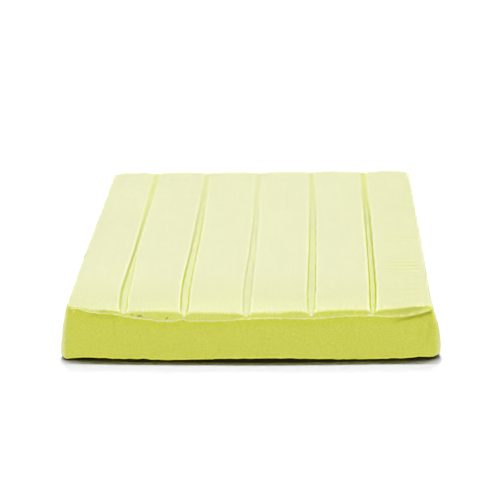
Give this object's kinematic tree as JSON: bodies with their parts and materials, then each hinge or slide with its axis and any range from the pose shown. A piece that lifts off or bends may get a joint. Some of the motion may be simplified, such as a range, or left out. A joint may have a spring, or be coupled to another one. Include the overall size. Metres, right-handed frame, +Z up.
{
  "type": "clay bar",
  "caption": "Flat, almost square bar of soft clay, scored on top into strips that tear off one at a time; one end is a cut face with a smeared lip.",
  "frame": {"origin": "middle of the underside", "axes": "+Z up from the underside; the score lines run along Y, the cut end with the smeared lip faces -Y, and the strips are counted along +X"},
  "size_m": [0.062, 0.06, 0.0095],
  "materials": {
    "clay": "matte"
  },
  "bodies": {
    "strip_1": {"strip_1": "clay"},
    "strip_2": {"strip_2": "clay"},
    "strip_3": {"strip_3": "clay"},
    "strip_4": {"strip_4": "clay"},
    "strip_5": {"strip_5": "clay"},
    "strip_6": {"strip_6": "clay"}
  },
  "joints": [
    {"name": "score_line_1", "type": "slide", "parent": "strip_1", "child": "strip_2", "axis": [1, 0, 0], "range_m": [0, 0.015]},
    {"name": "score_line_2", "type": "slide", "parent": "strip_2", "child": "strip_3", "axis": [1, 0, 0], "range_m": [0, 0.015]},
    {"name": "score_line_3", "type": "slide", "parent": "strip_3", "child": "strip_4", "axis": [1, 0, 0], "range_m": [0, 0.015]},
    {"name": "score_line_4", "type": "slide", "parent": "strip_4", "child": "strip_5", "axis": [1, 0, 0], "range_m": [0, 0.015]},
    {"name": "score_line_5", "type": "slide", "parent": "strip_5", "child": "strip_6", "axis": [1, 0, 0], "range_m": [0, 0.015]}
  ]
}
